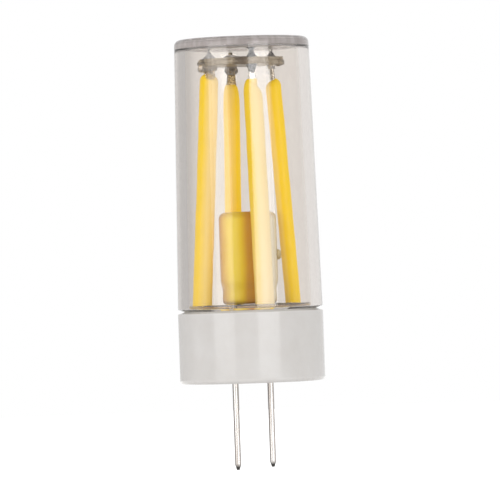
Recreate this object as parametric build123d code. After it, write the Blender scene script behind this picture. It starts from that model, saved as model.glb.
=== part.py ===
from build123d import *
import math
import os

# A two-pin LED capsule lamp. The origin is at the centre of the base's underside, between the pins.
# +Z runs up the lamp's axis, the pins point down it, and they stand apart along X.
# All sizes are in millimetres and all angles in degrees.

# Flats that make up each rounded edge
round_flats = 3

# Contact pins
pin_pitch = 4.0
pin_radius = 0.35
pin_reaches = {"left": 9.95, "right": 9.72}
pin_point_length = 0.6
pin_point_radius = 0.16
pin_terminal_pitch = 7.8
pin_collar_radius = 0.55
pin_straight_inside = 1.3
pin_slant_height = 2.3

# Base cup
base_radius = 8.3
base_height = 8.03
base_floor = 1.2
base_corner_radius = 0.42
base_rim_width = 0.75
base_rim_rise = 0.24
collar_wall = 0.52
collar_drop = 0.33
collar_clearance = 0.08

# Envelope
envelope_step = 0.03
envelope_length = 31.08
envelope_draft = 1.08
envelope_bevel_rise = 0.24
envelope_top_thickness = 1.0
envelope_top_radius = 0.7
envelope_ceiling_bevel = 0.35
neck_wall = 0.47
neck_length = 1.85
neck_clearance = 0.05

# Driver board, lying on the collar
driver_board_thickness = 0.8
driver_board_clearance = 0.13
notch_clearance = 0.1

# Top board, hung on the filaments' tabs under the ceiling
top_board_radius = 4.53
top_board_thickness = 0.8
top_board_drop = 1.35
stub_reach = 0.4
stub_width = 2.6

# Filaments: a coated strip with a tab at each end, all four leaning in towards the top
filament_count = 4
filament_turn = 198.5
cage_offset = -0.13
coat_width = 2.1
coat_depth = 1.94
coat_head_bevel = 0.45
coat_head_gaps = {1: 0.8, 2: 1.7, 3: 1.5, 4: 2.0}
coat_foot_gap = 0.12
strip_width = 0.9
strip_depth = 0.36
strip_margin = 0.5
tab_width = 0.55
tab_depth = 0.25
tongue_width = 0.3
tongue_depth = 0.2
tongue_rise = 1.1
tab_fall = 1.1

# Solder joints
cone_sides = 10
joint_hole_radius = 0.42
head_cone_radius = 0.75
head_cone_height = 0.8
head_cone_tip = 0.3
head_fillet_height = 0.6
head_fillet_tip = 0.42
head_edge_margin = 0.05
foot_cone_radius = 0.75
foot_cone_height = 0.8
foot_cone_tip = 0.42
foot_plug_height = 0.35
foot_collar_clearance = 0.05
small_cone_height = 0.55
small_cone_margin = 0.35

# Upright capacitor
capacitor_radius = 3.15
capacitor_height = 10.25
capacitor_stand = 0.6
capacitor_shoulder = 0.4
sleeve_thickness = 0.13
sleeve_fold = 0.75
bung_radius = 2.5
bung_depth = 0.9
capacitor_pitch = 2.5
capacitor_lead_radius = 0.25
capacitor_lead_tail = 0.9
capacitor_lead_grip = 0.5

# Glue drop on the capacitor's right side
drop_width = 0.62
drop_height = 1.3
drop_tip = 0.12
drop_level = 14.5
drop_angle = -8.0
drop_sink = 0.12

# Parts under the driver board
rectifier_size = (3.6, 3.2, 1.3)
rectifier_place = (1.5, 2.75)
driver_chip_size = (3.9, 2.4, 1.1)
driver_chip_place = (-1.3, -2.75)
resistor_size = (2.0, 1.25, 0.5)
sense_resistor_place = (-2.5, 2.3)
bleed_resistor_place = (2.9, -2.5)
terminal_size = 0.4
terminal_thickness = 0.2
resistor_cap_length = 0.35
resistor_cap_step = 0.05

# Radii and levels that follow from the sizes above
cup_bore = base_radius - base_rim_width
neck_radius = cup_bore - neck_clearance
neck_bore = neck_radius - neck_wall
collar_height = base_height - collar_drop
collar_radius = neck_bore - collar_clearance
collar_bore = collar_radius - collar_wall
envelope_radius = base_radius - envelope_step
rim_level = base_height + base_rim_rise
slot_level = rim_level - neck_length
envelope_top = rim_level + envelope_length
ceiling_level = envelope_top - envelope_top_thickness
driver_board_radius = neck_bore - driver_board_clearance
driver_board_under = collar_height
driver_board_top = collar_height + driver_board_thickness
top_board_top = ceiling_level - top_board_drop
top_board_under = top_board_top - top_board_thickness
foot_circle_radius = collar_bore - foot_collar_clearance - foot_cone_radius - abs(cage_offset)
head_circle_radius = top_board_radius - head_edge_margin - head_cone_radius
notch_radius = coat_width / 2 + notch_clearance
capacitor_under = driver_board_top + capacitor_stand
capacitor_top = capacitor_under + capacitor_height
filament_numbers = range(1, filament_count + 1)


def turned(face):
    """Revolves a face drawn as radius and height about the lamp's axis."""
    return revolve(Plane.XZ * face, Axis.Z)


def outline(points):
    """A closed face through the points."""
    return make_face(Polyline(*points, close=True))


def quarter_round(x, y, radius, start):
    """Points of a quarter circle about a centre, anticlockwise from an angle, as a few flats."""
    angles = [math.radians(start + 90 * step / round_flats) for step in range(round_flats + 1)]
    return [(x + radius * math.cos(angle), y + radius * math.sin(angle)) for angle in angles]


def flanked_cone(wide, tip, height):
    """A tapered drop with flat flanks, standing on the ground plane at the origin."""
    inset = (wide - tip) * math.cos(math.pi / cone_sides)
    slope = math.degrees(math.atan2(inset, height))
    return extrude(RegularPolygon(wide, cone_sides), height, taper=slope)


def hanging(solid):
    """The same solid, upside down."""
    return Rot(180, 0, 0) * solid


def filament_angle(number):
    """The direction of a filament from the cage's axis."""
    return filament_turn + (number - 1) * 360 / filament_count


def cage_point(number, radius, level):
    """A point at a radius of the filament cage, in a filament's direction."""
    angle = math.radians(filament_angle(number))
    return Vector(cage_offset + radius * math.cos(angle), radius * math.sin(angle), level)


def strip_plane(number):
    """A plane across a filament at the driver board's top, with X along the strip's width."""
    foot = cage_point(number, foot_circle_radius, driver_board_top)
    head = cage_point(number, head_circle_radius, top_board_under)
    angle = math.radians(filament_angle(number))
    across = Vector(-math.sin(angle), math.cos(angle), 0)
    return Plane(origin=foot, x_dir=across, z_dir=head - foot)


def strip_distance(level):
    """The distance along a leaning filament from the driver board's top to a level."""
    rise = top_board_under - driver_board_top
    lean = foot_circle_radius - head_circle_radius
    return (level - driver_board_top) * math.hypot(rise, lean) / rise


def bar(plane, width, depth, start, end):
    """A straight bar along a plane's normal, between two distances."""
    return extrude(plane.offset(start) * Rectangle(width, depth), end - start)


def make_base_cup():
    """White cup with a collar for the driver board and a slot for the envelope's neck."""
    points = [
        (0, 0),
        *quarter_round(base_radius - base_corner_radius, base_corner_radius, base_corner_radius, -90),
        (base_radius, base_height),
        (cup_bore, rim_level),
        (cup_bore, slot_level),
        (collar_radius, slot_level),
        (collar_radius, collar_height),
        (collar_bore, collar_height),
        (collar_bore, base_floor),
        (0, base_floor),
    ]
    cup = turned(outline(points))
    for side in (-1, 1):
        cup -= Pos(side * pin_pitch / 2, 0, base_floor / 2) * Cylinder(pin_collar_radius, base_floor * 2)
    return cup


def drafted(radius, level):
    """A radius of the envelope at a level, narrowed by the mould's draft above the rim."""
    return radius - (level - rim_level) * math.tan(math.radians(envelope_draft))


def make_envelope():
    """Clear capsule with a flat top, a drafted wall and a neck that sits in the base's slot."""
    round_level = envelope_top - envelope_top_radius
    round_centre = drafted(envelope_radius, round_level) - envelope_top_radius
    ceiling_edge = drafted(neck_bore, ceiling_level)
    points = [
        (neck_bore, slot_level),
        (neck_radius, slot_level),
        (neck_radius, rim_level),
        (envelope_radius, rim_level + envelope_bevel_rise),
        *quarter_round(round_centre, round_level, envelope_top_radius, 0),
        (0, envelope_top),
        (0, ceiling_level),
        (ceiling_edge - envelope_ceiling_bevel, ceiling_level),
        (ceiling_edge, ceiling_level - envelope_ceiling_bevel),
        (neck_bore, rim_level),
    ]
    return turned(outline(points))


def make_contact_pin(side, reach):
    """Round pin with a tapered point, an upset collar held in the base's floor, and a bent tail."""
    x = side * pin_pitch / 2
    terminal_x = side * pin_terminal_pitch / 2
    bend_level = base_floor + pin_straight_inside
    shank_points = [
        (0, -reach),
        (pin_point_radius, -reach),
        (pin_radius, pin_point_length - reach),
        (pin_radius, 0),
        (pin_collar_radius, 0),
        (pin_collar_radius, base_floor),
        (0, base_floor),
    ]
    shank = turned(outline(shank_points))
    path = Polyline(
        (x, 0, base_floor),
        (x, 0, bend_level),
        (terminal_x, 0, bend_level + pin_slant_height),
        (terminal_x, 0, driver_board_top),
    )
    start = Plane(origin=path @ 0, z_dir=path % 0)
    tail = sweep(start * Circle(pin_radius), path, transition=Transition.RIGHT)
    return Pos(x, 0, 0) * shank + tail


def make_driver_board():
    """Round board with a plated notch for each filament and holes for pins and capacitor."""
    face = Circle(driver_board_radius)
    notch_length = driver_board_radius
    for number in filament_numbers:
        centre = cage_point(number, foot_circle_radius, 0)
        slot = Circle(notch_radius) + Pos(notch_length / 2, 0) * Rectangle(notch_length, notch_radius * 2)
        face -= Pos(centre.X, centre.Y) * Rot(0, 0, filament_angle(number)) * slot
    for side in (-1, 1):
        face -= Pos(side * pin_terminal_pitch / 2, 0) * Circle(pin_radius)
        face -= Pos(side * capacitor_pitch / 2, 0) * Circle(capacitor_lead_radius)
    return Pos(0, 0, driver_board_under) * extrude(face, driver_board_thickness)


def make_top_board():
    """Small round board with two stubs where it broke off its panel."""
    face = Circle(top_board_radius)
    reach = top_board_radius + stub_reach
    face += Rectangle(reach * 2, stub_width)
    for number in filament_numbers:
        centre = cage_point(number, head_circle_radius, 0) - Vector(cage_offset, 0, 0)
        face -= Pos(centre.X, centre.Y) * Circle(joint_hole_radius)
    return Pos(cage_offset, 0, top_board_under) * extrude(face, top_board_thickness)


def coat_span(number):
    """Where a filament's coat starts and ends, as distances along the filament."""
    start = strip_distance(driver_board_under + foot_plug_height + coat_foot_gap)
    end = strip_distance(top_board_under - coat_head_gaps[number])
    return start, end


def make_filament_strip(number):
    """Strip inside a coat, with a flat tab at the foot and a narrow tongue at the head."""
    plane = strip_plane(number)
    start, end = coat_span(number)
    foot_end = strip_distance(driver_board_under - tab_fall)
    head_end = strip_distance(top_board_top + tongue_rise)
    board_under = strip_distance(top_board_under)
    strip = bar(plane, strip_width, strip_depth, start + strip_margin, end - strip_margin)
    strip += bar(plane, tab_width, tab_depth, foot_end, board_under)
    return strip + bar(plane, tongue_width, tongue_depth, board_under, head_end)


def make_filament_coat(number):
    """Oval phosphor coat with a bevelled head, cast round the strip."""
    plane = strip_plane(number)
    start, end = coat_span(number)
    coat = extrude(plane.offset(start) * Ellipse(coat_width / 2, coat_depth / 2), end - start)
    rim = coat.edges().filter_by(GeomType.ELLIPSE).sort_by(Axis.Z)[-1]
    coat = chamfer(rim, coat_head_bevel)
    return coat - make_filament_strip(number)


def make_top_solder(number):
    """Solder joint of a tongue: a cone above the top board, a plug and a fillet below."""
    centre = cage_point(number, head_circle_radius, 0)
    plug = Cylinder(joint_hole_radius, top_board_thickness, align=(Align.CENTER, Align.CENTER, Align.MIN))
    cone = flanked_cone(head_cone_radius, head_cone_tip, head_cone_height)
    fillet_cone = hanging(flanked_cone(head_cone_radius, head_fillet_tip, head_fillet_height))
    joint = plug + Pos(0, 0, top_board_thickness) * cone + fillet_cone
    return Pos(centre.X, centre.Y, top_board_under) * joint - make_filament_strip(number)


def make_bottom_solder(number):
    """Solder joint of a foot tab: a plug in the driver board's notch and a cone below it."""
    centre = cage_point(number, foot_circle_radius, 0)
    plug = Cylinder(notch_radius, foot_plug_height, align=(Align.CENTER, Align.CENTER, Align.MIN))
    joint = plug + hanging(flanked_cone(foot_cone_radius, foot_cone_tip, foot_cone_height))
    return Pos(centre.X, centre.Y, driver_board_under) * joint - make_filament_strip(number)


def make_wire_solder(x, wire_radius):
    """Solder cone under the driver board, round a wire that passes through it."""
    wide = wire_radius + small_cone_margin
    tip = wire_radius + small_cone_margin / 4
    cone = hanging(flanked_cone(wide, tip, small_cone_height))
    cone -= Cylinder(wire_radius, small_cone_height * 3)
    return Pos(x, 0, driver_board_under) * cone


def can_points(growth):
    """Half outline of the capacitor's can, grown outwards by a skin's thickness."""
    radius = capacitor_radius + growth
    under = capacitor_under - growth
    top = capacitor_top + growth
    return [
        (0, under),
        (radius, under),
        (radius, top - capacitor_shoulder),
        (radius - capacitor_shoulder, top),
        (0, top),
    ]


def make_capacitor_can():
    """Sealed can with a bevelled shoulder and a recess for the bung."""
    recess = Pos(0, 0, capacitor_under + bung_depth / 2) * Cylinder(bung_radius, bung_depth)
    return turned(outline(can_points(0))) - recess


def make_capacitor_sleeve():
    """Thin skin shrunk over the can and folded over both of its ends."""
    opening = Cylinder(capacitor_radius - sleeve_fold, capacitor_top * 3)
    skin = turned(outline(can_points(sleeve_thickness)))
    return skin - turned(outline(can_points(0))) - opening


def make_capacitor_bung():
    """Rubber disc that closes the can, with a hole for each lead."""
    bung = Pos(0, 0, capacitor_under + bung_depth / 2) * Cylinder(bung_radius, bung_depth)
    for side in (-1, 1):
        bung -= make_capacitor_lead(side)
    return bung


def make_capacitor_lead(side):
    """Straight round lead from the bung down through the driver board."""
    start = driver_board_under - capacitor_lead_tail
    end = capacitor_under + capacitor_lead_grip
    lead = Cylinder(capacitor_lead_radius, end - start)
    return Pos(side * capacitor_pitch / 2, 0, (start + end) / 2) * lead


def make_glue_drop():
    """Small drop of glue, seated on the sleeve's right side."""
    skin = capacitor_radius + sleeve_thickness
    half = flanked_cone(drop_width / 2, drop_tip, drop_height / 2)
    drop = half + hanging(half)
    place = Rot(0, 0, drop_angle) * Pos(skin + drop_width / 2 - drop_sink, 0, drop_level)
    return place * drop - Cylinder(skin, capacitor_top * 3)


def chip(size, place, terminal_rows):
    """Moulded body hung under the driver board, with terminals on its long sides."""
    length, width, height = size
    body = Pos(0, 0, -terminal_thickness - height / 2) * Box(length, width, height)
    body = chamfer(body.faces().sort_by(Axis.Z)[0].edges(), height * 0.15)
    for side in (-1, 1):
        for row in range(terminal_rows):
            x = (row - (terminal_rows - 1) / 2) * length / terminal_rows
            y = side * width / 2
            body += Pos(x, y, -terminal_thickness) * Box(terminal_size, terminal_size, terminal_thickness * 2)
    return Pos(place[0], place[1], driver_board_under) * body


def make_resistor(place):
    """Flat chip resistor with a metal cap at each end."""
    length, width, height = resistor_size
    body = Pos(0, 0, -resistor_cap_step - height / 2) * Box(length, width - resistor_cap_step * 2, height)
    for side in (-1, 1):
        x = side * (length - resistor_cap_length) / 2
        z = -(height + resistor_cap_step * 2) / 2
        body += Pos(x, 0, z) * Box(resistor_cap_length, width, height + resistor_cap_step * 2)
    return Pos(place[0], place[1], driver_board_under) * body


def make_nodes():
    """Every piece of the lamp by name."""
    nodes = {
        "envelope": make_envelope(),
        "base_cup": make_base_cup(),
        "driver_board": make_driver_board(),
        "top_board": make_top_board(),
        "capacitor_can": make_capacitor_can(),
        "capacitor_sleeve": make_capacitor_sleeve(),
        "capacitor_bung": make_capacitor_bung(),
        "glue_drop": make_glue_drop(),
        "rectifier": chip(rectifier_size, rectifier_place, 2),
        "driver_chip": chip(driver_chip_size, driver_chip_place, 4),
        "sense_resistor": make_resistor(sense_resistor_place),
        "bleed_resistor": make_resistor(bleed_resistor_place),
    }
    for name, side in (("left", -1), ("right", 1)):
        nodes[f"contact_pin_{name}"] = make_contact_pin(side, pin_reaches[name])
        nodes[f"pin_solder_{name}"] = make_wire_solder(side * pin_terminal_pitch / 2, pin_radius)
        nodes[f"capacitor_lead_{name}"] = make_capacitor_lead(side)
        nodes[f"lead_solder_{name}"] = make_wire_solder(side * capacitor_pitch / 2, capacitor_lead_radius)
    for number in filament_numbers:
        nodes[f"filament_strip_{number}"] = make_filament_strip(number)
        nodes[f"filament_coat_{number}"] = make_filament_coat(number)
        nodes[f"top_solder_{number}"] = make_top_solder(number)
        nodes[f"bottom_solder_{number}"] = make_bottom_solder(number)
    return nodes


os.makedirs("parts", exist_ok=True)
for name, solid in make_nodes().items():
    export_step(solid, f"parts/{name}.step")
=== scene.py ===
import math
import random

import bmesh
import bpy
from mathutils import Matrix, Vector, noise


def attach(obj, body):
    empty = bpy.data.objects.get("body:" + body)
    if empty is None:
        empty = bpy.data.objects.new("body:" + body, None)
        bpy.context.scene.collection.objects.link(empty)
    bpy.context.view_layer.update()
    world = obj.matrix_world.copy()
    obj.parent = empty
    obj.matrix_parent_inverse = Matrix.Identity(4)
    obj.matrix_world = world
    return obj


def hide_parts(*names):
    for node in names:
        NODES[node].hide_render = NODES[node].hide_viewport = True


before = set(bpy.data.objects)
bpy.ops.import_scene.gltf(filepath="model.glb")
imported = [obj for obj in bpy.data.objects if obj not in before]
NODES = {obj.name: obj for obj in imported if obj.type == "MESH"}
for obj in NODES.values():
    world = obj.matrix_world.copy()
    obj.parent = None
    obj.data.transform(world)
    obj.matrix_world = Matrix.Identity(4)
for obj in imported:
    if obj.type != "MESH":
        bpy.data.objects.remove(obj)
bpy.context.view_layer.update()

# The lamp's looks. Lengths are in millimetres here and become metres in the meshes.
# +Z runs up the lamp, the contact pins point down it, and the photograph's side faces -Y.
MM = 0.001
random.seed(7)

# Sizes that the CAD model gives
RIM_LEVEL = 8.27
BASE_RADIUS = 8.3
BASE_HEIGHT = 8.03
CUP_BORE = 7.55
SLOT_LEVEL = 6.42
COLLAR_RADIUS = 6.95
COLLAR_BORE = 6.43
COLLAR_HEIGHT = 7.7
BASE_FLOOR = 1.2
ENVELOPE_RADIUS = 8.27
NECK_RADIUS = 7.5
NECK_BORE = 7.03
ENVELOPE_TOP = 39.35
CEILING_LEVEL = 38.35
DRAFT = math.tan(math.radians(1.08))
BOARD_TOP = 8.5
TOP_BOARD_UNDER = 36.2
TOP_BOARD_TOP = 37.0
TOP_BOARD_RADIUS = 4.53
STUB_REACH = 4.93
STUB_HALF_WIDTH = 1.3
CAGE_OFFSET = -0.13
FOOT_CIRCLE = 5.5
HEAD_CIRCLE = 3.73
COAT_START_LEVEL = 8.17
PIN_OFFSET = 2.0
PIN_TIPS = {"left": -9.95, "right": -9.72}
CAN_RADIUS = 3.15
CAN_UNDER = 9.1
CAN_TOP = 19.35
SLEEVE = 0.13
SLEEVE_FOLD = 2.4
GROOVE_LEVEL = CAN_UNDER + 1.55
GROOVE_HALF = 0.85
GROOVE_DEPTH = 0.22
FOOT_DEPTH = GROOVE_DEPTH * 0.8
FILM_GAP = 0.01
BUNG_RADIUS = 2.5
BUNG_DEPTH = 0.9


# Shapes

def mesh_object(name, vertices, faces, sharp_angle=40):
    """A smooth-shaded mesh from points in millimetres."""
    mesh = bpy.data.meshes.new(name)
    mesh.from_pydata([Vector(v) * MM for v in vertices], [], faces)
    made = bmesh.new()
    made.from_mesh(mesh)
    bmesh.ops.recalc_face_normals(made, faces=made.faces)
    made.to_mesh(mesh)
    made.free()
    mesh.shade_smooth()
    mesh.set_sharp_from_angle(angle=math.radians(sharp_angle))
    piece = bpy.data.objects.new(name, mesh)
    bpy.context.collection.objects.link(piece)
    return piece


def eased(points, radii, steps=8):
    """A closed outline with the corners of the given radii rounded."""
    made = []
    for i, corner in enumerate(points):
        radius = radii.get(i, 0)
        here = Vector(corner)
        if not radius:
            made.append(here)
            continue
        back = (Vector(points[i - 1]) - here).normalized()
        ahead = (Vector(points[(i + 1) % len(points)]) - here).normalized()
        half = back.angle(ahead) / 2
        reach = radius / math.tan(half)
        centre = here + (back + ahead).normalized() * (radius / math.sin(half))
        start = here + back * reach - centre
        end = here + ahead * reach - centre
        turn = start.angle_signed(end)
        for step in range(steps + 1):
            made.append(centre + Matrix.Rotation(-turn * step / steps, 2) @ start)
    return [(p.x, p.y) for p in made]


def braced(profile, longest=2.0, brace=0.12):
    """Adds a point close to both ends of each long side, so that smooth shading leaves it straight."""
    made = []
    for start, end in zip(profile, profile[1:] + profile[:1]):
        made.append(start)
        side = Vector(end) - Vector(start)
        if side.length > longest:
            step = side.normalized() * brace
            made.append((start[0] + step.x, start[1] + step.y))
            made.append((end[0] - step.x, end[1] - step.y))
    return made


def lathe(name, profile, segments=192, centre=(0, 0), sharp_angle=40):
    """A closed outline of radius and height, turned about the axis. Points on the axis become poles."""
    profile = braced(profile)
    vertices = []
    rings = []
    for radius, level in profile:
        if radius < 1e-6:
            rings.append([len(vertices)])
            vertices.append((centre[0], centre[1], level))
            continue
        rings.append(list(range(len(vertices), len(vertices) + segments)))
        for i in range(segments):
            angle = 2 * math.pi * i / segments
            x = centre[0] + radius * math.cos(angle)
            vertices.append((x, centre[1] + radius * math.sin(angle), level))
    faces = []
    for a, b in zip(rings, rings[1:] + rings[:1]):
        if len(a) == 1 and len(b) == 1:
            continue
        for i in range(segments):
            j = (i + 1) % segments
            if len(a) == 1:
                faces.append((a[0], b[i], b[j]))
            elif len(b) == 1:
                faces.append((a[i], a[j], b[0]))
            else:
                faces.append((a[i], a[j], b[j], b[i]))
    return mesh_object(name, vertices, faces, sharp_angle)


def drafted(radius, level):
    """A radius of the envelope at a level, narrowed by the mould's draft."""
    return radius - (level - RIM_LEVEL) * DRAFT


def filament_angle(number):
    return math.radians(198.5 + (number - 1) * 90)


def cage_point(number, radius, level):
    angle = filament_angle(number)
    return Vector((CAGE_OFFSET + radius * math.cos(angle), radius * math.sin(angle), level))


# Materials

def node(tree, kind, inputs=None, **settings):
    """A shader node with its settings and inputs, each a value or another node's output."""
    made = tree.nodes.new("ShaderNode" + kind)
    for key, value in settings.items():
        setattr(made, key, value)
    for key, value in (inputs or {}).items():
        if isinstance(value, bpy.types.NodeSocket):
            tree.links.new(value, made.inputs[key])
        else:
            made.inputs[key].default_value = value
    return made


def new_material(name):
    made = bpy.data.materials.new(name)
    made.use_nodes = True
    made.node_tree.nodes.clear()
    return made, made.node_tree


def colour(red, green, blue):
    """A linear colour from screen values of 0 to 255."""
    linear = []
    for value in (red, green, blue):
        share = value / 255
        linear.append(share / 12.92 if share <= 0.04045 else ((share + 0.055) / 1.055) ** 2.4)
    return (*linear, 1)


def place(tree, stretch=(1, 1, 1)):
    """Object coordinates in millimetres, stretched along the axes."""
    spot = node(tree, "TexCoord").outputs["Object"]
    scale = [1000 * s for s in stretch]
    return node(tree, "Mapping", {"Vector": spot, "Scale": scale}).outputs["Vector"]


def grain(tree, scale, detail=3.0, roughness=0.55, stretch=(1, 1, 1)):
    """Noise from 0 to 1, with a scale per millimetre."""
    inputs = {"Vector": place(tree, stretch), "Scale": scale, "Detail": detail, "Roughness": roughness}
    return node(tree, "TexNoise", inputs).outputs["Fac"]


def ramp(tree, factor, *stops):
    """A colour ramp from (position, colour) pairs."""
    made = node(tree, "ValToRGB", {"Fac": factor})
    band = made.color_ramp
    while len(band.elements) < len(stops):
        band.elements.new(0.5)
    for element, (position, shade) in zip(band.elements, stops):
        element.position = position
        element.color = shade
    return made.outputs["Color"]


def mix(tree, factor, low, high, blend="MIX"):
    """Mixes two colours."""
    made = node(tree, "Mix", data_type="RGBA", blend_type=blend)
    for socket, value in zip((made.inputs[0], made.inputs[6], made.inputs[7]), (factor, low, high)):
        if isinstance(value, bpy.types.NodeSocket):
            tree.links.new(value, socket)
        else:
            socket.default_value = value
    return made.outputs[2]


def spread(tree, value, start, end, low=0.0, high=1.0):
    """Maps a value's range to another, clamped."""
    inputs = {"Value": value, "From Min": start, "From Max": end, "To Min": low, "To Max": high}
    return node(tree, "MapRange", inputs).outputs["Result"]


def axis_value(tree, axis):
    """One object coordinate, in millimetres."""
    parts = node(tree, "SeparateXYZ", {"Vector": place(tree)})
    return parts.outputs[axis]


def relief(tree, height, strength=0.3, depth=0.02):
    """A bump from a height map, with a depth in millimetres."""
    inputs = {"Height": height, "Strength": strength, "Distance": depth * MM}
    return node(tree, "Bump", inputs).outputs["Normal"]


def surface(tree, inputs, volume=None):
    """Ends a material in a principled shader."""
    shader = node(tree, "BsdfPrincipled", inputs)
    output = node(tree, "OutputMaterial", {"Surface": shader.outputs["BSDF"]})
    if volume:
        tree.links.new(volume, output.inputs["Volume"])


def finish_with(piece, made):
    """Gives a piece its one material."""
    piece.data.materials.clear()
    piece.data.materials.append(made)


def clear_plastic():
    """Clear moulding, faintly warm through its wall, with slow waves below its milky lid."""
    made, tree = new_material("clear_plastic")
    level = axis_value(tree, "Z")
    calm = spread(tree, level, CEILING_LEVEL - 3, CEILING_LEVEL - 0.6, 1.0, 0.0)
    waves = node(tree, "Math", {0: grain(tree, 0.22, 1.5, 0.5, (1, 1, 0.2)), 1: calm}, operation="MULTIPLY")
    warm = ramp(tree, grain(tree, 0.5), (0.3, colour(246, 242, 238)), (0.7, colour(249, 246, 242)))
    lid = spread(tree, level, CEILING_LEVEL - 0.15, CEILING_LEVEL + 0.1)
    streaks = grain(tree, 1.1, 2, 0.5, (1, 1, 0.02))
    milk = ramp(tree, streaks, (0.35, colour(194, 186, 184)), (0.7, colour(230, 225, 223)))
    tint = mix(tree, lid, warm, milk)
    haze = node(tree, "VolumeAbsorption", {"Color": (0.5, 0.42, 0.38, 1), "Density": 88.0})
    surface(tree, {
        "Base Color": tint,
        "Roughness": 0.012,
        "IOR": 1.49,
        "Transmission Weight": spread(tree, lid, 0.0, 1.0, 1.0, 0.6),
        "Normal": relief(tree, waves.outputs["Value"], 0.2, 0.05),
    }, haze.outputs["Volume"])
    return made


def white_plastic():
    made, tree = new_material("white_plastic")
    tone = ramp(tree, grain(tree, 0.35, 4), (0.3, colour(215, 211, 207)), (0.7, colour(221, 218, 215)))
    pits = grain(tree, 9, 3)
    rough = spread(tree, grain(tree, 1.2), 0.3, 0.7, 0.09, 0.14)
    surface(tree, {
        "Base Color": tone,
        "Roughness": rough,
        "IOR": 1.5,
        "Normal": relief(tree, pits, 0.12, 0.01),
    })
    return made


def plated_pin(tip, middle):
    """Plated wire with drawing streaks, painted reflection bands across it with painted highlights between
    its flanks and painted shade at its edges, and darker towards its cut end.
    """
    made, tree = new_material("plated_pin")
    streak = grain(tree, 4, 3, 0.6, (1, 1, 0.02))
    flank = side_share(tree, (1, 0), (middle, 0))
    edge = colour(90, 85, 82)
    dull = colour(150, 142, 138)
    painted_soft_reflection = colour(214, 206, 200)
    painted_highlight = colour(250, 248, 245)
    # Painted reflection bands across the wire: painted highlights between the flanks, painted shade at both
    # edges
    painted_reflection_bands = ramp(tree, flank, (0.0, edge), (0.12, dull), (0.3, painted_highlight), (0.45, painted_soft_reflection), (0.66, painted_highlight),
                 (0.82, painted_soft_reflection), (0.92, dull), (1.0, edge))
    scratch = ramp(tree, streak, (0.34, colour(186, 176, 168)), (0.52, colour(255, 255, 255)))
    streaked_painted_bands = mix(tree, 0.8, painted_reflection_bands, scratch, "MULTIPLY")
    tip_darkening = spread(tree, axis_value(tree, "Z"), tip + 0.3, tip + 0.75)
    tone = mix(tree, tip_darkening, colour(66, 64, 62), streaked_painted_bands)
    surface(tree, {
        "Base Color": tone,
        "Metallic": 1.0,
        "Roughness": spread(tree, streak, 0.3, 0.7, 0.2, 0.3),
        "Normal": relief(tree, streak, 0.3, 0.012),
    })
    return made


def side_share(tree, across=(1, 0), origin=(0, 0)):
    """0 to 1 from a round piece's left side to its right, with its own X and Y weighed by across."""
    spot = node(tree, "SeparateXYZ", {"Vector": place(tree)})
    x = node(tree, "Math", {0: spot.outputs["X"], 1: origin[0]}, operation="SUBTRACT").outputs["Value"]
    y = node(tree, "Math", {0: spot.outputs["Y"], 1: origin[1]}, operation="SUBTRACT").outputs["Value"]
    flat = node(tree, "CombineXYZ", {"X": x, "Y": y, "Z": 0.0})
    unit = node(tree, "VectorMath", {0: flat.outputs["Vector"]}, operation="NORMALIZE")
    weights = (across[0], across[1], 0)
    side = node(tree, "VectorMath", {0: unit.outputs["Vector"], 1: weights}, operation="DOT_PRODUCT")
    return spread(tree, side.outputs["Value"], -1.0, 1.0)


PHOSPHOR_DEEP = (247, 207, 0)
PHOSPHOR_PAINTED_HIGHLIGHT = (245, 217, 145)
PHOSPHOR_CREAM = (245, 230, 200)
PALE_FOOTED = 2
FOOT_FADE = 15.0
# Where across each coat the deep tone starts to pale into the painted highlight and where it has paled, and
# how far the painted highlight pales it
COAT_HIGHLIGHT_TURNS = {1: (0.28, 0.6), 2: (0.27, 0.45), 3: (0.38, 0.2), 4: (0.8, 0.45)}
COAT_HIGHLIGHT_STRENGTHS = {1: 0.95, 2: 1.0, 3: 0.6, 4: 0.55}
# Each coat's painted glow: an emission strength that brightens the coat, standing in for its phosphor
# fluorescing under the studio light
COAT_PAINTED_GLOWS = {1: 0.18, 2: 0.05, 3: 0.25, 4: 0.28}


def phosphor(number, across):
    """Yellow silicone in a deep tone, with a painted highlight paling one side of each coat, a painted glow,
    and a shift in tone towards its foot.
    """
    made, tree = new_material(f"phosphor_{number}")
    grains = grain(tree, 14, 4)
    cloud = grain(tree, 0.7, 3, 0.6, (1, 1, 0.35))
    sway = spread(tree, cloud, 0.3, 0.7, -0.03, 0.03)
    share = node(tree, "Math", {0: side_share(tree, across), 1: sway}, operation="ADD").outputs["Value"]
    deep_at, pale_at = COAT_HIGHLIGHT_TURNS[number]
    # Painted highlight: one side of each coat pales towards a cream tone
    pale = spread(tree, share, deep_at, pale_at, 0.0, COAT_HIGHLIGHT_STRENGTHS[number])
    tone = mix(tree, pale, colour(*PHOSPHOR_DEEP), colour(*PHOSPHOR_PAINTED_HIGHLIGHT))
    foot = spread(tree, axis_value(tree, "Z"), 0.0, FOOT_FADE, 0.4, 0.0)
    foot_shade = PHOSPHOR_CREAM if number == PALE_FOOTED else PHOSPHOR_DEEP
    tone = mix(tree, foot, tone, colour(*foot_shade))
    tone = mix(tree, spread(tree, grains, 0.4, 0.85, 0.0, 0.16), tone, colour(252, 218, 60))
    surface(tree, {
        "Base Color": tone,
        "Roughness": 0.24,
        "IOR": 1.41,
        "Specular IOR Level": 0.35,
        # Painted glow in the coat's own tone
        "Emission Color": tone,
        "Emission Strength": COAT_PAINTED_GLOWS[number],
        "Normal": relief(tree, grain(tree, 1.1, 3), 0.25, 0.04),
    })
    return made


def solder(name, dark, pale, roughness):
    """Solder with a crinkled skin."""
    made, tree = new_material(name)
    crinkle = grain(tree, 3.5, 4, 0.6)
    surface(tree, {
        "Base Color": ramp(tree, crinkle, (0.3, dark), (0.7, pale)),
        "Metallic": 1.0,
        "Roughness": spread(tree, crinkle, 0.3, 0.7, roughness, roughness + 0.14),
        "Normal": relief(tree, crinkle, 0.5, 0.06),
    })
    return made


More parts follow.
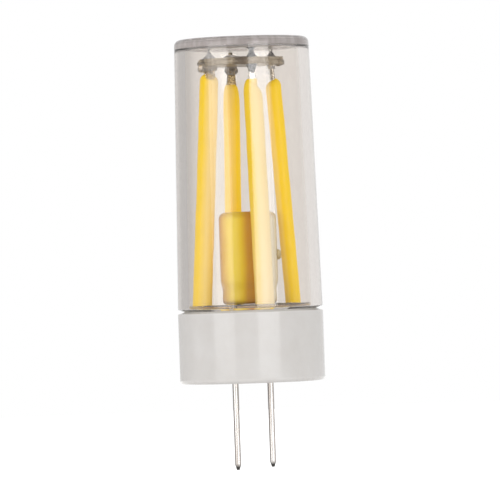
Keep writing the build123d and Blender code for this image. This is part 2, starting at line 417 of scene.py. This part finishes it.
def laminate(name, dark, pale, clearness, scorch=0.0):
    """Bare glass-fibre laminate: woven threads across it, layers at its edge and a scorched middle."""
    made, tree = new_material(name)
    weave = grain(tree, 3, 2, 0.5, (4, 0.5, 1))
    weft = grain(tree, 3, 2, 0.5, (0.5, 4, 1))
    layers = grain(tree, 2, 2, 0.5, (0.15, 0.15, 6))
    threads = node(tree, "Math", {0: weave, 1: weft}, operation="MAXIMUM").outputs["Value"]
    cloth = node(tree, "Math", {0: threads, 1: layers}, operation="MULTIPLY").outputs["Value"]
    tone = ramp(tree, cloth, (0.18, dark), (0.42, pale))
    stray = spread(tree, grain(tree, 0.9, 3), 0.3, 0.7, -0.7, 0.7)
    offset = node(tree, "Math", {0: axis_value(tree, "X"), 1: stray}, operation="ADD").outputs["Value"]
    away = node(tree, "Math", {0: offset}, operation="ABSOLUTE").outputs["Value"]
    tone = mix(tree, spread(tree, away, 0.3, 1.0, scorch, 0.0), tone, colour(84, 66, 46))
    surface(tree, {
        "Base Color": tone,
        "Roughness": spread(tree, layers, 0.3, 0.7, 0.3, 0.5),
        "Transmission Weight": clearness,
        "IOR": 1.5,
        "Normal": relief(tree, cloth, 0.3, 0.03),
    })
    return made


def sleeve_film():
    """Shrunk glossy gold film with a grey stripe on its right, a painted reflection paling its left side, and
    painted shade in ochre at its left edge and across its middle.
    """
    made, tree = new_material("sleeve_film")
    cloud = grain(tree, 0.5, 3, 0.5, (1, 1, 0.4))
    sway = spread(tree, cloud, 0.3, 0.7, -0.02, 0.02)
    share = node(tree, "Math", {0: side_share(tree), 1: sway}, operation="ADD").outputs["Value"]
    # Painted shade darkens the top shoulder, and a painted shadow darkens the foot
    rim = spread(tree, axis_value(tree, "Z"), CAN_TOP - 0.75, CAN_TOP - 0.3, 1.0, 0.72)
    foot = spread(tree, axis_value(tree, "Z"), CAN_UNDER, CAN_UNDER + 0.5, 0.55, 1.0)
    ends = node(tree, "Math", {0: rim, 1: foot}, operation="MULTIPLY").outputs["Value"]
    # The light band is a painted reflection on the left side; the ochre is painted shade at the left edge and
    # across the middle
    light = colour(250, 222, 80)
    gold = colour(236, 200, 10)
    painted_shade_ochre = colour(212, 154, 0)
    stripe = colour(225, 212, 180)
    tone = ramp(tree, share, (0.0, painted_shade_ochre), (0.16, light), (0.27, light), (0.38, gold), (0.48, painted_shade_ochre),
                (0.76, painted_shade_ochre), (0.82, stripe))
    # Painted shade and shadow at both ends, mixed towards dark brown
    tone = mix(tree, ends, colour(150, 96, 0), tone)
    surface(tree, {
        "Base Color": tone,
        "Roughness": spread(tree, grain(tree, 2), 0.3, 0.7, 0.14, 0.22),
        "IOR": 1.42,
        "Specular IOR Level": 0.2,
        "Normal": relief(tree, grain(tree, 0.6, 2, 0.5, (1, 1, 0.3)), 0.3, 0.04),
    })
    return made


def can_metal():
    """Satin aluminium with a cross scored in its top."""
    made, tree = new_material("can_metal")
    brushed = grain(tree, 4, 3, 0.6, (1, 1, 0.1))
    spot = node(tree, "SeparateXYZ", {"Vector": place(tree)})
    lines = []
    for axis in ("X", "Y"):
        size = node(tree, "Math", {0: spot.outputs[axis]}, operation="ABSOLUTE").outputs["Value"]
        lines.append(spread(tree, size, 0.04, 0.12))
    score = node(tree, "Math", {0: lines[0], 1: lines[1]}, operation="MULTIPLY").outputs["Value"]
    tone = ramp(tree, brushed, (0.3, colour(190, 190, 190)), (0.7, colour(222, 222, 220)))
    surface(tree, {
        "Base Color": mix(tree, score, colour(120, 120, 120), tone),
        "Metallic": 1.0,
        "Roughness": 0.32,
        "Normal": relief(tree, score, 0.8, 0.08),
    })
    return made


def moulded(name, dark, pale, roughness):
    """A dull moulded or fired body."""
    made, tree = new_material(name)
    speck = grain(tree, 6.0, 4, 0.65)
    surface(tree, {
        "Base Color": ramp(tree, speck, (0.3, dark), (0.72, pale)),
        "Roughness": spread(tree, speck, 0.3, 0.7, roughness, roughness + 0.15),
        "Normal": relief(tree, speck, 0.3, 0.02),
    })
    return made


def milky_drop(name, dark, pale, clearness):
    """A glossy drop of cloudy flux or glue."""
    made, tree = new_material(name)
    cloud = grain(tree, 1.8, 3)
    surface(tree, {
        "Base Color": ramp(tree, cloud, (0.3, dark), (0.65, pale)),
        "Roughness": spread(tree, cloud, 0.3, 0.7, 0.08, 0.2),
        "IOR": 1.46,
        "Transmission Weight": clearness,
        "Normal": relief(tree, cloud, 0.4, 0.08),
    })
    return made


def clear_drop(name, tone, density, roughness=0.06):
    """A drop of clear glue or flux, coloured through its depth."""
    made, tree = new_material(name)
    skin = grain(tree, 2.2, 3)
    fog = node(tree, "VolumeAbsorption", {"Color": tone, "Density": density})
    surface(tree, {
        "Base Color": ramp(tree, skin, (0.3, colour(246, 238, 224)), (0.7, colour(255, 252, 246))),
        "Roughness": roughness,
        "IOR": 1.46,
        "Transmission Weight": 0.85,
        "Normal": relief(tree, skin, 0.3, 0.05),
    }, fog.outputs["Volume"])
    return made


# The envelope and the base

def make_envelope():
    top_corner = (drafted(ENVELOPE_RADIUS, ENVELOPE_TOP), ENVELOPE_TOP)
    ceiling_edge = drafted(NECK_BORE, CEILING_LEVEL)
    points = [
        (NECK_BORE, SLOT_LEVEL),
        (NECK_RADIUS, SLOT_LEVEL),
        (NECK_RADIUS, RIM_LEVEL),
        (ENVELOPE_RADIUS, RIM_LEVEL + 0.24),
        top_corner,
        (0, ENVELOPE_TOP),
        (0, CEILING_LEVEL),
        (ceiling_edge, CEILING_LEVEL),
        (NECK_BORE, RIM_LEVEL),
    ]
    piece = lathe("clear_envelope", eased(points, {3: 0.12, 4: 0.7, 7: 0.45}), 256, sharp_angle=30)
    piece.visible_shadow = False
    piece.visible_diffuse = False
    finish_with(piece, clear_plastic())
    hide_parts("envelope")
    return piece


def make_base():
    points = [
        (0, 0),
        (BASE_RADIUS, 0),
        (BASE_RADIUS, BASE_HEIGHT),
        (CUP_BORE, RIM_LEVEL),
        (CUP_BORE, SLOT_LEVEL),
        (COLLAR_RADIUS, SLOT_LEVEL),
        (COLLAR_RADIUS, COLLAR_HEIGHT),
        (COLLAR_BORE, COLLAR_HEIGHT),
        (COLLAR_BORE, BASE_FLOOR),
        (0, BASE_FLOOR),
    ]
    piece = lathe("white_base", eased(points, {1: 0.42, 2: 0.1}), 256, sharp_angle=30)
    finish_with(piece, white_plastic())
    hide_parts("base_cup")
    return piece


# The filaments

def axis_frame(number):
    """A filament's foot, direction, and the directions across its width and depth."""
    foot = cage_point(number, FOOT_CIRCLE, BOARD_TOP)
    head = cage_point(number, HEAD_CIRCLE, TOP_BOARD_UNDER)
    along = (head - foot).normalized()
    angle = filament_angle(number)
    across = Vector((-math.sin(angle), math.cos(angle), 0))
    return foot, along, across, along.cross(across)


def end_share(distance, style):
    """How much of the full thickness a coat has at a distance from its end."""
    length, tip = style
    if distance >= length:
        return 1.0
    share = distance / length
    dome = math.sqrt(max(0.0, 1 - (1 - share) ** 2))
    return tip + (1 - tip) * dome


COAT_GAPS = {1: 0.8, 2: 1.7, 3: 1.5, 4: 2.0}
# How long the head's rounding is and the share of the width that its end keeps
COAT_HEADS = {1: (0.85, 0.06), 2: (1.7, 0.5), 3: (0.95, 0.1), 4: (2.0, 0.55)}
# How much lower one side of the head is: the right side, or the left where negative
COAT_SLANTS = {1: 0.15, 2: 0.95, 3: -0.32, 4: 0.1}
COAT_HALF = {1: (1.05, 1.05), 2: (1.06, 1.0), 3: (1.0, 0.93), 4: (1.0, 0.93)}
COAT_FOOT = (0.5, 0.35)
COAT_AROUND = 56
COAT_ENDS = (0.02, 0.05, 0.1, 0.17, 0.26, 0.36, 0.48, 0.62, 0.8, 1.0, 1.25, 1.6)


def make_coat(number):
    """A coat in its own frame: X across the filament, Y through it and Z along it."""
    foot, along, across, deep = axis_frame(number)
    start = (COAT_START_LEVEL - BOARD_TOP) / along.z
    end = (TOP_BOARD_UNDER - COAT_GAPS[number] - BOARD_TOP) / along.z
    length = end - start
    stations = {length * i / 60 for i in range(61)}
    for near in COAT_ENDS:
        stations |= {near, length - near}
    stations = sorted(stations)
    half_width, half_depth = COAT_HALF[number]
    slant = COAT_SLANTS[number]
    vertices = []
    for station in stations:
        for i in range(COAT_AROUND):
            angle = 2 * math.pi * i / COAT_AROUND
            right = math.cos(angle) * across.x + math.sin(angle) * deep.x
            lowered = abs(slant) * (1 + math.copysign(right, right * slant)) / 2
            head_room = max(0.0, length - station - lowered)
            share = end_share(station, COAT_FOOT) * end_share(head_room, COAT_HEADS[number])
            share = max(share, 0.03)
            spot = Vector((math.cos(angle) * half_width, math.sin(angle) * half_depth, start + station))
            wave = noise.noise(spot * 0.4 + Vector((number * 7, 0, 0))) * 0.035
            wave += noise.noise(spot * 1.5 + Vector((0, number * 5, 0))) * 0.012
            swell = min(share * (0.99 + wave), 1.02)
            vertices.append((spot.x * swell, spot.y * swell, spot.z))
    faces = []
    for ring in range(len(stations) - 1):
        a = ring * COAT_AROUND
        for i in range(COAT_AROUND):
            j = (i + 1) % COAT_AROUND
            faces.append((a + i, a + j, a + COAT_AROUND + j, a + COAT_AROUND + i))
    faces.append(tuple(range(COAT_AROUND)))
    faces.append(tuple(range(len(vertices) - COAT_AROUND, len(vertices))))
    piece = mesh_object(f"coat_{number}", vertices, faces, 60)
    turn = Matrix((across, deep, along)).transposed().to_4x4()
    piece.matrix_world = Matrix.Translation(foot * MM) @ turn
    finish_with(piece, phosphor(number, (across.x, deep.x)))
    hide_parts(f"filament_coat_{number}")
    return piece


# Each tab's half width at its top and low end, half depth, drop below the board and start under it
TABS = {2: (0.36, 0.5, 0.16, -1.9, 0.9), 3: (0.4, 0.44, 0.16, -1.7, 0.1), 4: (0.36, 0.62, 0.3, -2.3, 0.1)}


def make_tab(number, made):
    """The tinned tab between a coat's head and the top board."""
    top_half, low_half, half_depth, drop, start = TABS[number]
    foot, along, across, deep = axis_frame(number)
    high = (TOP_BOARD_UNDER - start - BOARD_TOP) / along.z
    low = (TOP_BOARD_UNDER + drop - BOARD_TOP) / along.z
    vertices = []
    levels = 8
    around = 24
    for level in range(levels + 1):
        share = level / levels
        half = top_half + (low_half - top_half) * share
        for i in range(around):
            angle = 2 * math.pi * i / around
            x = math.copysign(abs(math.cos(angle)) ** 0.45, math.cos(angle)) * half
            y = math.copysign(abs(math.sin(angle)) ** 0.45, math.sin(angle)) * half_depth
            spot = Vector((x, y, high + (low - high) * share))
            push = 1 + 0.1 * noise.noise(spot * 2.5 + Vector((number * 4, 0, 0)))
            vertices.append((x * push, y * push, spot.z))
    faces = []
    for ring in range(levels):
        a = ring * around
        for i in range(around):
            j = (i + 1) % around
            faces.append((a + i, a + j, a + around + j, a + around + i))
    faces.append(tuple(range(around)))
    faces.append(tuple(range(levels * around, (levels + 1) * around)))
    piece = mesh_object(f"tab_{number}", vertices, faces, 50)
    turn = Matrix((across, deep, along)).transposed().to_4x4()
    piece.matrix_world = Matrix.Translation(foot * MM) @ turn
    finish_with(piece, made)
    return piece


# The top board and its joints

def make_top_board():
    """Laminate disc with two ragged stubs where it broke off its panel."""
    stub_angle = math.asin(STUB_HALF_WIDTH / TOP_BOARD_RADIUS)
    rim = []
    for side in (0, 1):
        turn = math.pi * side
        rows = 26
        for i in range(rows + 1):
            y = -STUB_HALF_WIDTH + 2 * STUB_HALF_WIDTH * i / rows
            bite = 0.2 * abs(math.sin(y * 3.7 + side)) + 0.12 * random.random()
            x = STUB_REACH - bite
            rim.append((x * math.cos(turn) - y * math.sin(turn), x * math.sin(turn) + y * math.cos(turn)))
        arc = 60
        for i in range(arc + 1):
            angle = turn + stub_angle + (math.pi - 2 * stub_angle) * i / arc
            rim.append((TOP_BOARD_RADIUS * math.cos(angle), TOP_BOARD_RADIUS * math.sin(angle)))
    thickness = TOP_BOARD_TOP - TOP_BOARD_UNDER
    # Each ring's share of the thickness, its inset from the rim and how rough it is
    edge_rings = [(share, 0.0, 1.0) for share in (0.1, 0.3, 0.5, 0.7, 0.9)]
    rings = [(0.0, 0.8, 0.0), (0.0, 0.06, 1.0), *edge_rings, (1.0, 0.06, 1.0), (1.0, 0.8, 0.0)]
    vertices = []
    for share, inset, rough in rings:
        level = TOP_BOARD_UNDER + thickness * share
        for x, y in rim:
            spot = Vector((x * 1.4, y * 1.4, share * 2.5))
            torn = 1.0 if abs(y) < STUB_HALF_WIDTH + 0.4 else 0.35
            chip = max(0.0, noise.noise(spot) + 0.2) * 0.5 * rough * torn
            heave = noise.noise(spot * 0.8 + Vector((0, 0, 9))) * 0.2 * rough * torn
            shrink = 1 - (inset + chip) / math.hypot(x, y)
            vertices.append((CAGE_OFFSET + x * shrink, y * shrink, level + heave))
    count = len(rim)
    faces = []
    for ring in range(len(rings) - 1):
        for i in range(count):
            j = (i + 1) % count
            a = ring * count
            faces.append((a + i, a + j, a + count + j, a + count + i))
    faces.append(tuple(range(count)))
    faces.append(tuple(range((len(rings) - 1) * count, len(rings) * count)))
    piece = mesh_object("laminate_disc", vertices, faces, 30)
    finish_with(piece, laminate("laminate_disc", colour(146, 126, 98), colour(224, 211, 186), 0.3, 0.85))
    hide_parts("top_board")
    return piece


# Each joint's cone above the board, with its flare where it meets the ceiling, and its fillet below
CONES = {
    1: {"wide": 0.84, "tip": 0.1, "high": 0.95, "hollow": 1.4, "flare": 0.26},
    2: {"wide": 0.7, "tip": 0.25, "high": 0.8, "hollow": 2.0, "flare": 0.6},
    3: {"wide": 0.72, "tip": 0.15, "high": 0.9, "hollow": 1.7, "flare": 0.32},
    4: {"wide": 1.12, "tip": 0.2, "high": 0.6, "hollow": 0.5},
}
FILLETS = {
    1: {"under": 0.8, "low": 0.42, "drop": 0.62},
    2: {"under": 0.72, "low": 0.26, "drop": 1.05},
    3: {"under": 0.6, "low": 0.42, "drop": 0.5},
    4: {"under": 0.72, "low": 0.5, "drop": 0.9},
}


def make_head_joint(number, made):
    """A joint's cone above the top board and its fillet below, with uneven hollow flanks."""
    centre = cage_point(number, HEAD_CIRCLE, 0)
    form = CONES[number] | FILLETS[number]
    steps = 14
    profile = [(0, TOP_BOARD_TOP + form["high"])]
    if "flare" in form:
        neck = TOP_BOARD_TOP + form["high"]
        flare_top = CEILING_LEVEL - 0.03
        middle = form["tip"] + (form["flare"] - form["tip"]) * 0.3
        profile = [(0, flare_top), (form["flare"], flare_top), (middle, (flare_top + neck) / 2)]
    for i in range(steps + 1):
        share = i / steps
        radius = form["tip"] + (form["wide"] - form["tip"]) * share ** form["hollow"]
        profile.append((radius, TOP_BOARD_TOP + form["high"] * (1 - share) - 0.02 * share))
    profile += [(0.42, TOP_BOARD_TOP - 0.05), (0.42, TOP_BOARD_UNDER + 0.05)]
    for i in range(steps + 1):
        share = i / steps
        radius = form["under"] + (form["low"] - form["under"]) * share ** 0.75
        profile.append((radius, TOP_BOARD_UNDER + 0.02 - form["drop"] * share))
    profile.append((0, TOP_BOARD_UNDER - form["drop"]))
    piece = lathe(f"head_joint_{number}", profile, 64, (centre.x, centre.y), 45)
    for vertex in piece.data.vertices:
        spot = vertex.co / MM
        away = Vector((spot.x - centre.x, spot.y - centre.y, 0))
        if away.length > 0.08 and abs(spot.z - 36.6) > 0.42:
            push = noise.noise(spot * 1.9 + Vector((number * 3, 0, 0))) * 0.13
            vertex.co += away.normalized() * push * MM * min(1, away.length / 0.5)
    finish_with(piece, made)
    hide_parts(f"top_solder_{number}")
    return piece


def make_blob(name, place_at, size, made, seed):
    """A small uneven drop."""
    mesh = bpy.data.meshes.new(name)
    shape = bmesh.new()
    bmesh.ops.create_icosphere(shape, subdivisions=4, radius=1.0)
    for vertex in shape.verts:
        rough = 1 + 0.22 * noise.noise(vertex.co * 1.7 + Vector((seed, 0, 0)))
        spot = Vector([c * s * rough for c, s in zip(vertex.co, size)])
        vertex.co = (Vector(place_at) + spot) * MM
    shape.to_mesh(mesh)
    shape.free()
    mesh.shade_smooth()
    piece = bpy.data.objects.new(name, mesh)
    bpy.context.collection.objects.link(piece)
    finish_with(piece, made)
    return piece


# The capacitor, the pins and the flux film

def capacitor_side(radius, under, top):
    """Half outline of the capacitor's wall: narrowed foot, crimped groove and shoulder."""
    return [
        (radius - FOOT_DEPTH, under),
        (radius - FOOT_DEPTH, GROOVE_LEVEL - GROOVE_HALF),
        (radius - GROOVE_DEPTH, GROOVE_LEVEL),
        (radius, GROOVE_LEVEL + GROOVE_HALF),
        (radius, top),
    ]


def make_sleeve():
    """Film shrunk over the can, its groove and its rounded ends."""
    outer = capacitor_side(CAN_RADIUS + SLEEVE, CAN_UNDER - SLEEVE, CAN_TOP + SLEEVE)
    inner = capacitor_side(CAN_RADIUS + FILM_GAP, CAN_UNDER - FILM_GAP, CAN_TOP + FILM_GAP)
    points = [
        (SLEEVE_FOLD, CAN_UNDER - SLEEVE),
        *outer,
        (SLEEVE_FOLD, CAN_TOP + SLEEVE),
        (SLEEVE_FOLD, CAN_TOP + FILM_GAP),
        *reversed(inner),
        (SLEEVE_FOLD, CAN_UNDER - FILM_GAP),
    ]
    outer_rounds = {1: 0.42, 2: 2.0, 3: 2.0, 4: 2.0, 5: 0.78, 6: 0.05}
    inner_rounds = {8: 0.66, 9: 2.0, 10: 2.0, 11: 2.0, 12: 0.32}
    piece = lathe("sleeve", eased(points, outer_rounds | inner_rounds), 192, sharp_angle=35)
    finish_with(piece, sleeve_film())
    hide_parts("capacitor_sleeve")
    return piece


def make_can():
    """Drawn can with the groove that grips the bung, a scored top and the bung's recess below."""
    points = [
        (0, CAN_UNDER + BUNG_DEPTH),
        (BUNG_RADIUS, CAN_UNDER + BUNG_DEPTH),
        (BUNG_RADIUS, CAN_UNDER),
        *capacitor_side(CAN_RADIUS, CAN_UNDER, CAN_TOP),
        (0, CAN_TOP),
    ]
    rounds = {3: 0.31, 4: 2.0, 5: 2.0, 6: 2.0, 7: 0.65}
    piece = lathe("capacitor_body", eased(points, rounds), 160, sharp_angle=35)
    finish_with(piece, can_metal())
    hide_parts("capacitor_can")
    return piece


def dress_pin(side):
    middle = -PIN_OFFSET if side == "left" else PIN_OFFSET
    made = plated_pin(PIN_TIPS[side], middle)
    piece = NODES[f"contact_pin_{side}"]
    finish_with(piece, made)
    piece.data.shade_smooth()
    piece.data.set_sharp_from_angle(angle=math.radians(35))


# Radius and height of the flux film's skin above the driver board
FILM = ((0, 0.2), (4.6, 0.22), (5.9, 0.25), (6.4, 0.29), (6.75, 0.36), (6.88, 0.42), (6.93, 0.4),
        (6.93, 0.01), (0, 0.01))


def make_flux_film():
    """Brown flux left on the driver board, uneven, and drawn up against the envelope's wall."""
    profile = [(radius, BOARD_TOP + rise) for radius, rise in FILM]
    piece = lathe("flux_film", profile, 128)
    for vertex in piece.data.vertices:
        spot = vertex.co / MM
        rise = spot.z - BOARD_TOP
        if rise > 0.02:
            uneven = 1 + 0.25 * noise.noise(Vector((spot.x * 0.45, spot.y * 0.45, 3)))
            vertex.co.z = (BOARD_TOP + rise * uneven) * MM
    finish_with(piece, clear_drop("flux_brown", (0.78, 0.6, 0.36, 1), 130.0, 0.03))
    return piece


pieces = [make_envelope(), make_base(), make_top_board(), make_can(), make_sleeve()]
joint_metals = {
    1: milky_drop("flux_white", colour(150, 148, 148), colour(232, 230, 230), 0.25),
    # Joint 2's solder is darkened to blue-grey as painted shade, standing in for the dark surroundings its
    # cone reflects
    2: solder("solder_painted_dark", colour(58, 66, 76), colour(150, 154, 160), 0.16),
    3: solder("solder_dark", colour(110, 110, 112), colour(226, 224, 222), 0.26),
    4: milky_drop("flux_pale", colour(112, 102, 92), colour(212, 204, 198), 0.3),
}
tab_metals = {
    2: solder("tab_white", colour(226, 224, 220), colour(250, 249, 246), 0.2),
    3: solder("tab_pale", colour(150, 140, 124), colour(240, 236, 228), 0.16),
    4: solder("tab_brown", colour(92, 78, 56), colour(196, 176, 130), 0.2),
}
for number in range(1, 5):
    pieces.append(make_coat(number))
    pieces.append(make_head_joint(number, joint_metals[number]))
    if number in TABS:
        pieces.append(make_tab(number, tab_metals[number]))

flux = clear_drop("flux", (0.66, 0.55, 0.42, 1), 380.0, 0.03)
FLUX_DROPS = {
    "flux_left": ((-3.9, -1.5, 35.98), (1.02, 0.85, 0.7), 4),
    "flux_left_rim": ((-4.5, -0.5, 36.5), (0.55, 0.8, 0.5), 11),
    "flux_right_rim": ((4.25, 0.2, 36.45), (0.6, 0.8, 0.5), 15),
    "flux_back": ((-1.3, 3.4, 35.75), (0.8, 0.6, 0.5), 21),
    "flux_middle": ((-0.2, -2.6, 36.95), (1.5, 0.9, 0.22), 27),
    "flux_drip": ((-3.55, -2.1, 35.1), (0.5, 0.3, 0.55), 33),
}
for name, (spot, size, seed) in FLUX_DROPS.items():
    flux_drop = make_blob(name, spot, size, flux, seed)
    pieces.append(flux_drop)

back_tip = cage_point(4, HEAD_CIRCLE, TOP_BOARD_TOP + 0.74)
tip = make_blob("tab_tip", back_tip, (0.24, 0.24, 0.2), tab_metals[4], 39)
pieces.append(tip)


pieces.append(make_flux_film())

glue_angle = math.radians(-8)
skin = CAN_RADIUS + SLEEVE
glue_at = Vector((math.cos(glue_angle), math.sin(glue_angle), 0)) * (skin + 0.17)
glue_at.z = 14.5
glue = milky_drop("glue", colour(214, 190, 130), colour(240, 224, 176), 0.3)
drop = make_blob("glue_bead", glue_at, (0.3, 0.34, 0.6), glue, 9)
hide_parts("glue_drop")
pieces.append(drop)

for piece in pieces:
    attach(piece, "root")

dress_pin("left")
dress_pin("right")
tinned = solder("tinned_strip", colour(176, 176, 172), colour(236, 236, 232), 0.22)
plain_solder = solder("solder_plain", colour(120, 124, 128), colour(196, 198, 200), 0.22)
lead_metal = solder("lead_metal", colour(150, 148, 146), colour(214, 212, 208), 0.2)
driver_laminate = laminate("driver_laminate", colour(150, 126, 88), colour(206, 184, 146), 0.0)
epoxy = moulded("chip_epoxy", colour(14, 14, 15), colour(40, 40, 42), 0.45)
glazed = moulded("resistor_glaze", colour(24, 24, 27), colour(60, 60, 66), 0.25)
rubber = moulded("bung_rubber", colour(30, 26, 22), colour(62, 54, 46), 0.6)
dressing = {
    "driver_board": driver_laminate,
    "capacitor_bung": rubber,
    "rectifier": epoxy,
    "driver_chip": epoxy,
    "sense_resistor": glazed,
    "bleed_resistor": glazed,
}
for side in ("left", "right"):
    dressing[f"pin_solder_{side}"] = plain_solder
    dressing[f"lead_solder_{side}"] = plain_solder
    dressing[f"capacitor_lead_{side}"] = lead_metal
for number in range(1, 5):
    dressing[f"filament_strip_{number}"] = tinned
    dressing[f"bottom_solder_{number}"] = plain_solder
for name, made in dressing.items():
    finish_with(NODES[name], made)


# Floor, light and camera

FLOOR_GLOW = 0.75
FILL = 0.8
FRONT_FILL = 0.3
FRONT_BEARING = -20
MIRRORED_FRONT = 0.3
REFRACTED_FRONT = 0.85
LAMP_WIDTH = 0.62
LAMP_HEIGHT = 0.24
# Bearing from the photograph's side in degrees, and radiance
SOFTBOXES = {"left_softbox": (-43, 2.3), "right_softbox": (28.5, 3.0)}
FLOOR_RADIUS = 320
FLOOR_UNDER = -10.4


def make_floor():
    top = PIN_TIPS["left"]
    floor = lathe("floor", [(0, top), (FLOOR_RADIUS, top), (FLOOR_RADIUS, FLOOR_UNDER), (0, FLOOR_UNDER)], 96)
    made, tree = new_material("floor")
    rays = node(tree, "LightPath")
    seen = node(tree, "Math", {0: rays.outputs["Is Camera Ray"], 1: rays.outputs["Is Glossy Ray"]},
                operation="MAXIMUM").outputs["Value"]
    seen = node(tree, "Math", {0: seen, 1: rays.outputs["Is Transmission Ray"]}, operation="MAXIMUM")
    matt = node(tree, "BsdfDiffuse", {"Color": (0.8, 0.8, 0.8, 1)})
    lift = node(tree, "Math", {0: seen.outputs["Value"], 1: FLOOR_GLOW}, operation="MULTIPLY")
    glow = node(tree, "Emission", {"Color": (1, 1, 1, 1), "Strength": lift.outputs["Value"]})
    both = node(tree, "AddShader", {0: matt.outputs["BSDF"], 1: glow.outputs["Emission"]})
    node(tree, "OutputMaterial", {"Surface": both.outputs["Shader"]})
    finish_with(floor, made)


def make_world():
    """White where it is seen, a fill brighter from the front left, and a dimmer studio when mirrored."""
    world = bpy.data.worlds.new("studio")
    bpy.context.scene.world = world
    world.use_nodes = True
    tree = world.node_tree
    tree.nodes.clear()
    rays = node(tree, "LightPath")
    mirrored = node(tree, "Math", {0: rays.outputs["Is Glossy Ray"], 1: rays.outputs["Is Transmission Ray"]},
                    operation="MAXIMUM").outputs["Value"]
    way = node(tree, "SeparateXYZ", {"Vector": node(tree, "TexCoord").outputs["Generated"]})
    overhead = spread(tree, way.outputs["Z"], 0.35, 0.8, 1.0, 0.7)
    angle = node(tree, "Math", {0: way.outputs["X"], 1: way.outputs["Y"]}, operation="ARCTAN2")
    double = node(tree, "Math", {0: angle.outputs["Value"], 1: 2.0}, operation="MULTIPLY").outputs["Value"]
    wave = node(tree, "Math", {0: double}, operation="SINE").outputs["Value"]
    size = node(tree, "Math", {0: wave}, operation="ABSOLUTE").outputs["Value"]
    corner = spread(tree, size, 0.22, 0.72)
    depth = spread(tree, way.outputs["X"], -0.05, 0.05, 0.34, 0.03)
    loss = node(tree, "Math", {0: corner, 1: depth}, operation="MULTIPLY").outputs["Value"]
    walls = node(tree, "Math", {0: 0.97, 1: loss}, operation="SUBTRACT").outputs["Value"]
    studio = node(tree, "Math", {0: walls, 1: overhead}, operation="MULTIPLY").outputs["Value"]
    front = spread(tree, way.outputs["Y"], -0.3, 0.1, MIRRORED_FRONT, 1.0)
    through = spread(tree, front, MIRRORED_FRONT, 1.0, REFRACTED_FRONT, 1.0)
    front = node(tree, "Mix", {0: rays.outputs["Is Transmission Ray"], 2: front, 3: through},
                 data_type="FLOAT")
    studio = node(tree, "Math", {0: studio, 1: front.outputs[0]}, operation="MULTIPLY")
    bearing = math.radians(FRONT_BEARING)
    direction = node(tree, "TexCoord").outputs["Generated"]
    lit_from = (math.sin(bearing), -math.cos(bearing), 0)
    lit_side = node(tree, "VectorMath", {0: direction, 1: lit_from}, operation="DOT_PRODUCT")
    fill = spread(tree, lit_side.outputs["Value"], -1.0, 1.0, FILL - FRONT_FILL, FILL + FRONT_FILL)
    strength = node(tree, "Mix", {0: mirrored, 2: fill, 3: studio.outputs["Value"]}, data_type="FLOAT")
    strength = node(tree, "Mix", {0: rays.outputs["Is Camera Ray"], 2: strength.outputs[0], 3: 1.0},
                    data_type="FLOAT")
    back = node(tree, "Background", {"Color": (1, 1, 1, 1), "Strength": strength.outputs[0]})
    node(tree, "OutputWorld", {"Surface": back.outputs["Background"]})


def make_lamp(name, bearing, width, height, radiance):
    """A softbox one metre away that stands on the floor's level and faces the lamp."""
    light = bpy.data.lights.new(name, "AREA")
    light.shape = "RECTANGLE"
    light.size = width
    light.size_y = height
    light.energy = radiance * math.pi * width * height
    lamp = bpy.data.objects.new(name, light)
    bpy.context.collection.objects.link(lamp)
    angle = math.radians(bearing)
    spot = Vector((math.sin(angle), -math.cos(angle), height / 2 - 0.01))
    lamp.location = spot
    lamp.rotation_mode = "QUATERNION"
    lamp.rotation_quaternion = Vector((-spot.x, -spot.y, 0)).to_track_quat("-Z", "Y")


def make_camera():
    eye = Vector((0, -0.640, 0.0105))
    target = Vector((0.00019, 0, 0.01512))
    roll = math.radians(1.97)
    ahead = (target - eye).normalized()
    level_right = ahead.cross(Vector((0, 0, 1))).normalized()
    level_up = level_right.cross(ahead)
    right = level_right * math.cos(roll) - level_up * math.sin(roll)
    up = level_right * math.sin(roll) + level_up * math.cos(roll)
    data = bpy.data.cameras.new("camera")
    data.sensor_width = 36
    data.lens = 403.2
    data.clip_start = 0.01
    data.clip_end = 10
    camera = bpy.data.objects.new("camera", data)
    bpy.context.collection.objects.link(camera)
    turn = Matrix((right, up, -ahead)).transposed()
    camera.matrix_world = Matrix.Translation(eye) @ turn.to_4x4()
    bpy.context.scene.camera = camera


make_floor()
make_world()
for name, (bearing, radiance) in SOFTBOXES.items():
    make_lamp(name, bearing, LAMP_WIDTH, LAMP_HEIGHT, radiance)
make_camera()
bpy.context.scene.view_settings.view_transform = "Standard"
